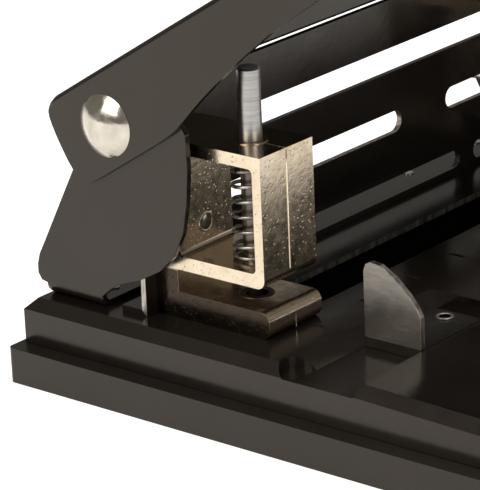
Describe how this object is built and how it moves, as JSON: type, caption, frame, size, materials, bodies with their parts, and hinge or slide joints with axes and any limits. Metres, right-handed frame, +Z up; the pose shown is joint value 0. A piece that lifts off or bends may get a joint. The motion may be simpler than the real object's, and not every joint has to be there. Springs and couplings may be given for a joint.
{
  "type": "hole punch",
  "caption": "Adjustable lever hole punch: sliding spring-return punch heads on a slotted rail, wide covered handle, side paper guide and clip-on chip tray.",
  "frame": {"origin": "middle of the chip tray's underside, on the desk", "axes": "+X along the punch towards the end without the paper guide, -Y towards the user, +Z up"},
  "size_m": [0.366, 0.198, 0.1999],
  "materials": {
    "painted_steel": "gloss",
    "tray_plastic": "satin",
    "nickel_cast": "cast, plated",
    "pin_steel": "ground",
    "spring_steel": "drawn wire",
    "guide_steel": "satin",
    "zinc_fixings": "zinc plated",
    "rivet_chrome": "polished",
    "grip_rubber": "matte",
    "washer_nylon": "matte"
  },
  "bodies": {
    "frame": {"chip_tray": "tray_plastic", "base_shell": "painted_steel", "rail": "painted_steel", "rail_screws": "zinc_fixings", "side_plate_screws": "zinc_fixings", "side_plate_left": "painted_steel", "side_plate_right": "painted_steel", "pivot_rivet_left": "rivet_chrome", "pivot_rivet_right": "rivet_chrome", "pivot_washer_left": "washer_nylon", "pivot_washer_right": "washer_nylon"},
    "handle": {"handle_frame": "painted_steel", "press_channel": "painted_steel", "grip_rod": "zinc_fixings", "grip_sleeve": "grip_rubber"},
    "paper_guide": {"guide_fin": "guide_steel", "guide_slider": "painted_steel", "guide_eyelet": "guide_steel"},
    "left_head": {"punch_head_left": "nickel_cast", "clamp_stud_left": "zinc_fixings", "clamp_washer_left": "zinc_fixings", "clamp_nut_left": "zinc_fixings", "return_spring_left": "spring_steel"},
    "left_pin": {"punch_pin_left": "pin_steel", "pin_clip_left": "spring_steel"},
    "middle_head": {"punch_head_middle": "nickel_cast", "clamp_stud_middle": "zinc_fixings", "clamp_washer_middle": "zinc_fixings", "clamp_nut_middle": "zinc_fixings", "return_spring_middle": "spring_steel"},
    "middle_pin": {"punch_pin_middle": "pin_steel", "pin_clip_middle": "spring_steel"},
    "right_head": {"punch_head_right": "nickel_cast", "clamp_stud_right": "zinc_fixings", "clamp_washer_right": "zinc_fixings", "clamp_nut_right": "zinc_fixings", "return_spring_right": "spring_steel"},
    "right_pin": {"punch_pin_right": "pin_steel", "pin_clip_right": "spring_steel"}
  },
  "joints": [
    {"name": "handle_press", "type": "hinge", "parent": "frame", "child": "handle", "pos_m": [0, 0.0585, 0.0868], "axis": [1, 0, 0], "range_deg": [0, 24], "stiffness_Nm_per_rad": 3, "springref_deg": -34.38},
    {"name": "left_head_slide", "type": "slide", "parent": "frame", "child": "left_head", "axis": [1, 0, 0], "range_m": [0, 0.105]},
    {"name": "left_pin_stroke", "type": "slide", "parent": "left_head", "child": "left_pin", "axis": [0, 0, -1], "range_m": [0, 0.01225], "stiffness_N_per_m": 300, "springref_m": -0.01, "deforming": ["return_spring_left"]},
    {"name": "middle_head_slide", "type": "slide", "parent": "frame", "child": "middle_head", "axis": [1, 0, 0], "range_m": [-0.025, 0.04]},
    {"name": "middle_pin_stroke", "type": "slide", "parent": "middle_head", "child": "middle_pin", "axis": [0, 0, -1], "range_m": [0, 0.01225], "stiffness_N_per_m": 300, "springref_m": -0.01, "deforming": ["return_spring_middle"]},
    {"name": "right_head_slide", "type": "slide", "parent": "frame", "child": "right_head", "axis": [1, 0, 0], "range_m": [-0.06, 0]},
    {"name": "right_pin_stroke", "type": "slide", "parent": "right_head", "child": "right_pin", "axis": [0, 0, -1], "range_m": [0, 0.01225], "stiffness_N_per_m": 300, "springref_m": -0.01, "deforming": ["return_spring_right"]},
    {"name": "guide_slide", "type": "slide", "parent": "frame", "child": "paper_guide", "axis": [1, 0, 0], "range_m": [-0.03, 0.009]}
  ],
  "couplings": [
    {"joint": "left_pin_stroke", "follows": "handle_press", "m_per_rad": 0.029125},
    {"joint": "middle_pin_stroke", "follows": "handle_press", "m_per_rad": 0.029125},
    {"joint": "right_pin_stroke", "follows": "handle_press", "m_per_rad": 0.029125}
  ]
}
